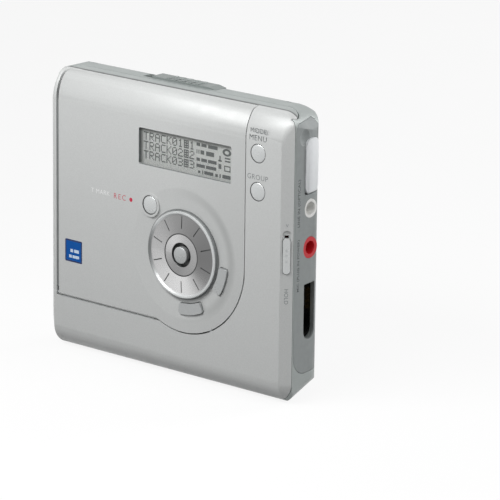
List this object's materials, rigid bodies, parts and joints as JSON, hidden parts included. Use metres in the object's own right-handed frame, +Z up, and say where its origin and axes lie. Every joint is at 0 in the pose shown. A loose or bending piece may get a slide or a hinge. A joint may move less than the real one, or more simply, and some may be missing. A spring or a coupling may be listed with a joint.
{
  "type": "portable minidisc player",
  "caption": "Slim upright disc player in a silver case, with a front lid that hinges forward, a jog dial, small keys, plug sockets and a disc drive inside.",
  "frame": {"origin": "middle of the flat base that the player stands on", "axes": "+X to the right seen from the front, +Y to the back, +Z up"},
  "size_m": [0.087, 0.0204, 0.0799],
  "materials": {
    "silver": "satin silver",
    "cover_grey": "satin grey paint",
    "panel_grey": "fine matt",
    "button_silver": "satin plated",
    "dial_metal": "spun, fine rings",
    "dark_plastic": "moulded black",
    "inner_grey": "moulded grey",
    "clear": "polished",
    "lcd_grey": "display glass",
    "board_green": "solder mask",
    "badge_blue": "printed",
    "ring_white": "moulded white",
    "ring_red": "moulded red",
    "cap_grey": "soft grey",
    "steel": "plain",
    "sheet_steel": "bright rolled",
    "brass": "turned",
    "rubber_black": "moulded",
    "lens": "coated",
    "cell_wrap": "shrink sleeve",
    "gold": "plated"
  },
  "bodies": {
    "case": {"battery_cell": "cell_wrap", "battery_contacts": "gold", "case_screws": "steel", "chassis_dampers": "rubber_black", "chassis_screws": "steel", "drive_chassis": "sheet_steel", "front_frame": "silver", "guide_rods": "steel", "hinge_pins": "steel", "holder_pivots": "steel", "line_socket": "ring_white", "main_board": "board_green", "mic_socket": "ring_red", "rear_cover": "cover_grey", "remote_contacts": "gold", "remote_socket": "dark_plastic", "side_panel": "panel_grey", "sled_motor": "steel", "spindle_motor": "steel", "strip_board": "board_green", "usb_port": "steel"},
    "lid": {"lid_plate": "silver", "lid_inner_frame": "inner_grey", "lid_board": "board_green", "lid_screws": "steel", "lcd_window": "clear", "lcd_panel": "lcd_grey", "lid_catch": "steel", "badge_plate": "badge_blue", "dial_hub": "button_silver"},
    "dial": {"jog_dial": "dial_metal"},
    "knob": {"enter_knob": "button_silver"},
    "rec": {"rec_button": "button_silver"},
    "stop": {"stop_button": "button_silver"},
    "cancel": {"cancel_button": "button_silver"},
    "menu": {"menu_button": "button_silver"},
    "group": {"group_button": "button_silver"},
    "hold": {"hold_slider": "button_silver"},
    "open": {"open_slider": "button_silver"},
    "cap": {"port_cap": "cap_grey"},
    "door": {"battery_door": "cover_grey"},
    "holder": {"disc_holder": "sheet_steel"},
    "table": {"turntable": "dark_plastic"},
    "sled": {"pickup_sled": "dark_plastic", "pickup_lens": "lens"},
    "screw": {"lead_screw": "steel", "screw_gear": "ring_white"},
    "pinion": {"motor_pinion": "brass", "motor_shaft": "steel"}
  },
  "joints": [
    {"name": "lid_hinge", "type": "hinge", "parent": "case", "child": "lid", "pos_m": [0, -0.0088, 0.01585], "axis": [1, 0, 0], "range_deg": [0, 35]},
    {"name": "holder_tilt", "type": "hinge", "parent": "case", "child": "holder", "pos_m": [0, -0.0009, 0.0056], "axis": [1, 0, 0], "range_deg": [0, 5.25]},
    {"name": "dial_turn", "type": "hinge", "parent": "lid", "child": "dial", "pos_m": [0.00689, -0.0094, 0.03533], "axis": [0, -1, 0], "continuous": true},
    {"name": "knob_press", "type": "slide", "parent": "lid", "child": "knob", "axis": [0, 1, 0], "range_m": [0, 0.0004], "stiffness_N_per_m": 120, "springref_m": -0.0008},
    {"name": "rec_press", "type": "slide", "parent": "lid", "child": "rec", "axis": [0, 1, 0], "range_m": [0, 0.0004], "stiffness_N_per_m": 120, "springref_m": -0.0008},
    {"name": "stop_press", "type": "slide", "parent": "lid", "child": "stop", "axis": [0, 1, 0], "range_m": [0, 0.0004], "stiffness_N_per_m": 120, "springref_m": -0.0008},
    {"name": "cancel_press", "type": "slide", "parent": "lid", "child": "cancel", "axis": [0, 1, 0], "range_m": [0, 0.0004], "stiffness_N_per_m": 120, "springref_m": -0.0008},
    {"name": "menu_press", "type": "slide", "parent": "case", "child": "menu", "axis": [0, 1, 0], "range_m": [0, 0.0004], "stiffness_N_per_m": 120, "springref_m": -0.0008},
    {"name": "group_press", "type": "slide", "parent": "case", "child": "group", "axis": [0, 1, 0], "range_m": [0, 0.0004], "stiffness_N_per_m": 120, "springref_m": -0.0008},
    {"name": "hold_slide", "type": "slide", "parent": "case", "child": "hold", "axis": [0, 0, 1], "range_m": [0, 0.0018]},
    {"name": "open_slide", "type": "slide", "parent": "case", "child": "open", "axis": [-1, 0, 0], "range_m": [0, 0.0024], "stiffness_N_per_m": 120, "springref_m": -0.002},
    {"name": "cap_hinge", "type": "hinge", "parent": "case", "child": "cap", "pos_m": [0.04195, 0.0012, 0.0579], "axis": [-0.1668, 0.986, 0], "range_deg": [0, 95]},
    {"name": "door_hinge", "type": "hinge", "parent": "case", "child": "door", "pos_m": [-0.04275, 0.0008, 0.0125], "axis": [0, 0, 1], "range_deg": [0, 95]},
    {"name": "table_spin", "type": "hinge", "parent": "case", "child": "table", "pos_m": [-0.0055, 0.0026, 0.04], "axis": [0, 1, 0], "continuous": true},
    {"name": "sled_slide", "type": "slide", "parent": "case", "child": "sled", "axis": [-1, 0, 0], "range_m": [0, 0.0155]},
    {"name": "screw_turn", "type": "hinge", "parent": "case", "child": "screw", "pos_m": [-0.02, 0.0043, 0.0545], "axis": [1, 0, 0], "range_deg": [0, 3721]},
    {"name": "pinion_turn", "type": "hinge", "parent": "case", "child": "pinion", "pos_m": [-0.006, 0.0043, 0.05802], "axis": [-1, 0, 0], "range_deg": [0, 6201]}
  ],
  "couplings": [
    {"joint": "holder_tilt", "follows": "lid_hinge", "ratio": 0.15},
    {"joint": "screw_turn", "follows": "sled_slide", "rad_per_m": 4188.8},
    {"joint": "pinion_turn", "follows": "sled_slide", "rad_per_m": 6981.3}
  ]
}
